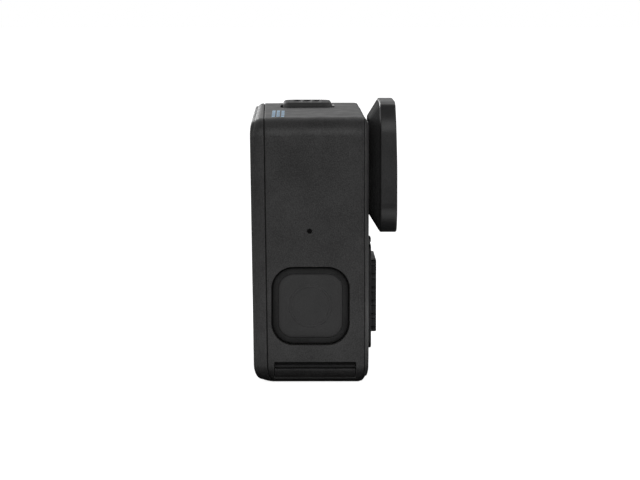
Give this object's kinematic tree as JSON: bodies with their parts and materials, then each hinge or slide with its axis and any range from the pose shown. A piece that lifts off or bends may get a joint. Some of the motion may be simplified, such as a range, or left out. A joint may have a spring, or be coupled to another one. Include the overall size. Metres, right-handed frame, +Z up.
{
  "type": "action camera",
  "caption": "Compact rectangular action camera: raised square lens guard, finned heat sink, screens front and rear, press buttons, hinged side door and fold-out mount fingers.",
  "frame": {"origin": "centre of the bounding box on the plane the base stands on", "axes": "+Z up; -Y is the side the lens faces, +Y the rear screen; -X is the side with the power button, nearest the lens guard; +X is the side with the hinged door"},
  "size_m": [0.0718, 0.0282, 0.0536],
  "materials": {
    "shell": "charcoal, fine speckled satin texture",
    "cover": "charcoal, fine speckled satin texture",
    "base": "darker charcoal, matte",
    "button": "charcoal satin",
    "guard_metal": "charcoal anodised, satin",
    "sink_metal": "black anodised, fine ribs",
    "finger_metal": "charcoal, satin",
    "steel": "bare, fine grain",
    "can_metal": "tinned shield",
    "lens_black": "matte black",
    "screen_glass": "polished, black backed",
    "guard_glass": "polished, coated",
    "lens_glass": "polished, coated",
    "light_window": "clear diffuser",
    "rubber": "matte",
    "board": "solder mask",
    "battery": "matte wrap",
    "tab": "matte film",
    "sensor": "polished",
    "display": "laminated",
    "card": "matte"
  },
  "bodies": {
    "camera_body": {"main_housing": "shell", "front_cover": "cover", "rear_cover": "cover", "rear_cover_seal": "rubber", "rear_screen_glass": "screen_glass", "rear_display_module": "display", "front_screen_glass": "screen_glass", "front_display_module": "display", "status_light": "light_window", "heat_sink": "sink_metal", "thermal_pad": "rubber", "processor_shield": "can_metal", "main_board": "board", "lens_mount_ring": "lens_black", "lens_barrel": "lens_black", "lens_front_element": "lens_glass", "lens_retaining_ring": "lens_black", "lens_inner_element": "lens_glass", "sensor_holder": "lens_black", "image_sensor": "sensor", "sensor_board": "board", "battery_tray": "base", "battery": "battery", "battery_pull_tab": "tab", "battery_contacts": "steel", "sd_card_slot": "can_metal", "sd_card": "card", "usb_port": "can_metal", "door_hinge_pin": "steel", "power_button_seal": "rubber", "power_switch": "can_metal", "shutter_seal": "rubber", "shutter_switch": "can_metal", "button_board": "board", "speaker": "can_metal", "speaker_cover": "shell", "side_microphone": "can_metal", "base_plate": "base", "finger_pin_left": "steel", "finger_pin_right": "steel"},
    "lens_guard": {"lens_guard_frame": "guard_metal", "lens_guard_glass": "guard_glass", "lens_guard_seal": "rubber"},
    "door": {"battery_door": "shell", "door_seal": "rubber"},
    "latch": {"door_latch": "button"},
    "power_key": {"power_button": "button"},
    "shutter_key": {"shutter_button": "button"},
    "finger_l": {"finger_left": "finger_metal"},
    "finger_r": {"finger_right": "finger_metal"}
  },
  "joints": [
    {"name": "lens_guard_twist", "type": "hinge", "parent": "camera_body", "child": "lens_guard", "pos_m": [-0.0185, -0.011, 0.0409], "axis": [0, -1, 0], "range_deg": [0, 45]},
    {"name": "door_swing", "type": "hinge", "parent": "camera_body", "child": "door", "pos_m": [0.03492, 0.0015, 0.04258], "axis": [0, -1, 0], "range_deg": [0, 95]},
    {"name": "latch_slide", "type": "slide", "parent": "door", "child": "latch", "axis": [0, 0, 1], "range_m": [0, 0.0015]},
    {"name": "power_press", "type": "slide", "parent": "camera_body", "child": "power_key", "axis": [1, 0, 0], "range_m": [0, 0.0005], "stiffness_N_per_m": 800},
    {"name": "shutter_press", "type": "slide", "parent": "camera_body", "child": "shutter_key", "axis": [0, 0, -1], "range_m": [0, 0.0006], "stiffness_N_per_m": 800},
    {"name": "finger_left_fold", "type": "hinge", "parent": "camera_body", "child": "finger_l", "pos_m": [-0.0046, 0.0016, 0.00315], "axis": [0, -1, 0], "range_deg": [0, 90]},
    {"name": "finger_right_fold", "type": "hinge", "parent": "camera_body", "child": "finger_r", "pos_m": [0.0046, 0.0016, 0.00315], "axis": [0, 1, 0], "range_deg": [0, 90]}
  ]
}
